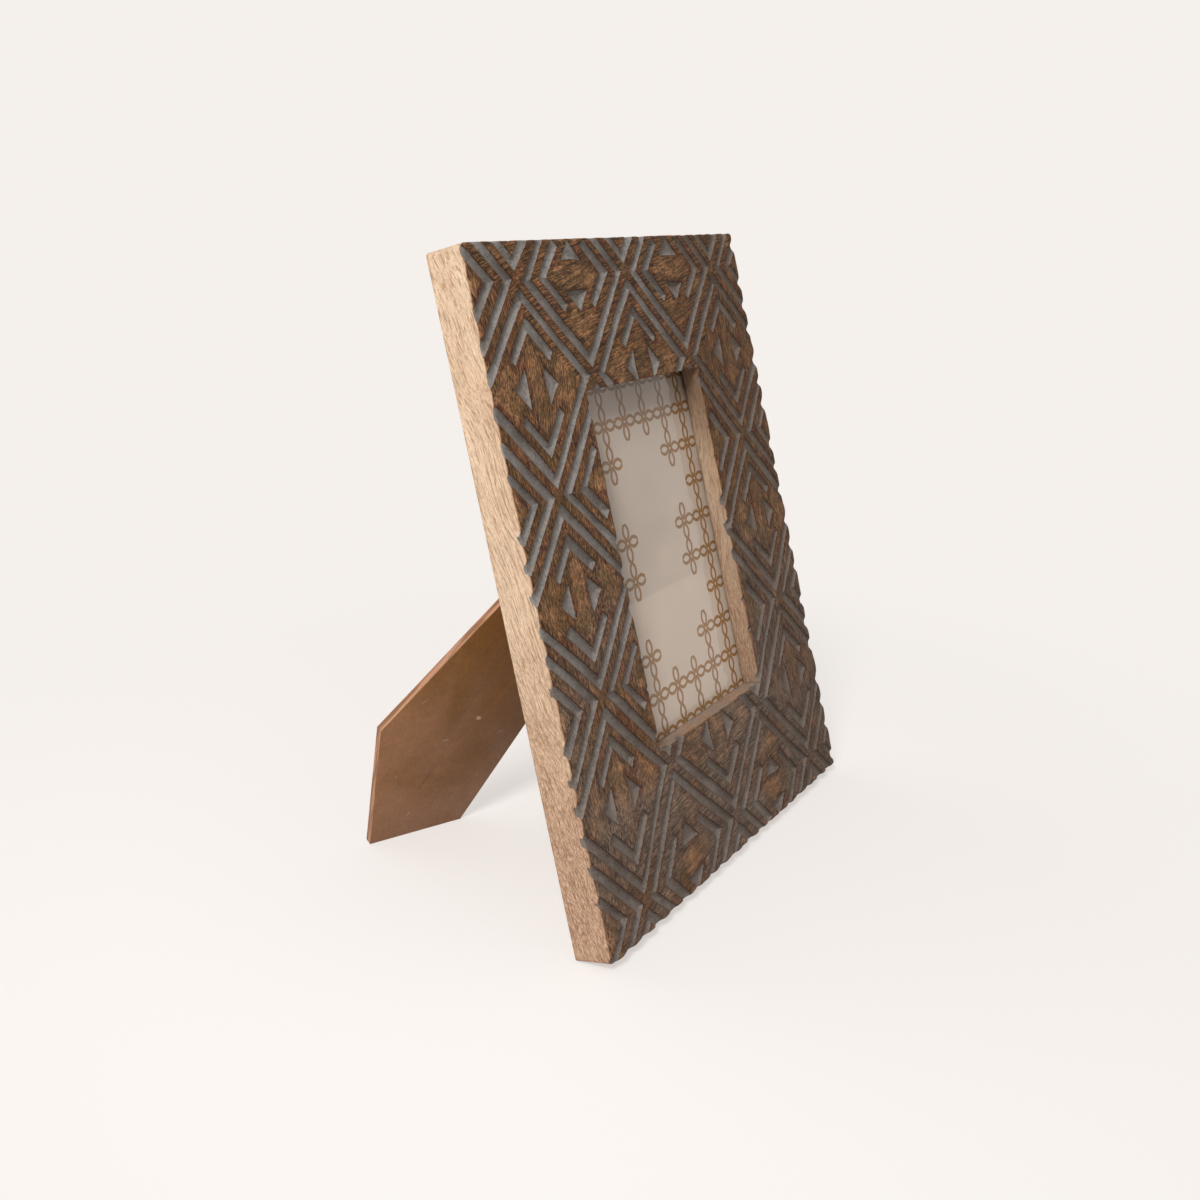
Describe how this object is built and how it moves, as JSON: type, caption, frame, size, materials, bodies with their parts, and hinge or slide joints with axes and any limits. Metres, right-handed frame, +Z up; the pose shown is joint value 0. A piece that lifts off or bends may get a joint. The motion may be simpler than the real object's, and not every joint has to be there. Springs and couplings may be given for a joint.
{
  "type": "picture frame",
  "caption": "Carved wooden picture frame with a deep window, a glazed print behind it, and a hinged strut that leans it back on a shelf.",
  "frame": {"origin": "on the surface that the frame stands on, below the middle of the bounding box of the frame with its strut open", "axes": "+X to the right as seen from the front, +Y from the carved front towards the open strut behind, +Z up"},
  "size_m": [0.2032, 0.1378, 0.2502],
  "materials": {
    "carved_wood": "dark stained and waxed carved face, grey washed grooves, bare pale sides",
    "nail_steel": "dull steel",
    "clear_glass": "clear float glass",
    "card": "matt warm grey paper with gold-brown line ornament",
    "grey_board": "plain cardboard",
    "hardboard": "brown hardboard, smooth and slightly waxed, paler sawn edges",
    "hinge_metal": "brass plated, satin",
    "fastener_steel": "zinc plated, satin"
  },
  "bodies": {
    "frame": {"top_rail": "carved_wood", "bottom_rail": "carved_wood", "left_stile": "carved_wood", "right_stile": "carved_wood", "corner_nails": "nail_steel", "glass_pane": "clear_glass", "picture_card": "card", "filler_pad": "grey_board", "back_panel": "hardboard", "button_screws": "fastener_steel", "hinge_base_leaf": "hinge_metal", "hinge_pin": "fastener_steel", "base_rivets": "hinge_metal"},
    "strut": {"hinge_flap_leaf": "hinge_metal", "strut_board": "hardboard", "flap_rivets": "hinge_metal"},
    "top_button": {"top_turn_button": "fastener_steel"},
    "bottom_button": {"bottom_turn_button": "fastener_steel"},
    "left_button": {"left_turn_button": "fastener_steel"},
    "right_button": {"right_turn_button": "fastener_steel"}
  },
  "joints": [
    {"name": "strut_fold", "type": "hinge", "parent": "frame", "child": "strut", "pos_m": [0.0147, -0.01525, 0.1436], "axis": [0.7627, -0.1587, -0.627], "range_deg": [-36.71, 0]},
    {"name": "top_button_turn", "type": "hinge", "parent": "frame", "child": "top_button", "pos_m": [0, -0.00079, 0.20441], "axis": [0, 0.9694, -0.2453], "continuous": true},
    {"name": "bottom_button_turn", "type": "hinge", "parent": "frame", "child": "bottom_button", "pos_m": [0.018, -0.042, 0.04154], "axis": [0, 0.9694, -0.2453], "continuous": true},
    {"name": "left_button_turn", "type": "hinge", "parent": "frame", "child": "left_button", "pos_m": [-0.0586, -0.01207, 0.15981], "axis": [0, 0.9694, -0.2453], "continuous": true},
    {"name": "right_button_turn", "type": "hinge", "parent": "frame", "child": "right_button", "pos_m": [0.0586, -0.02139, 0.12297], "axis": [0, 0.9694, -0.2453], "continuous": true}
  ]
}
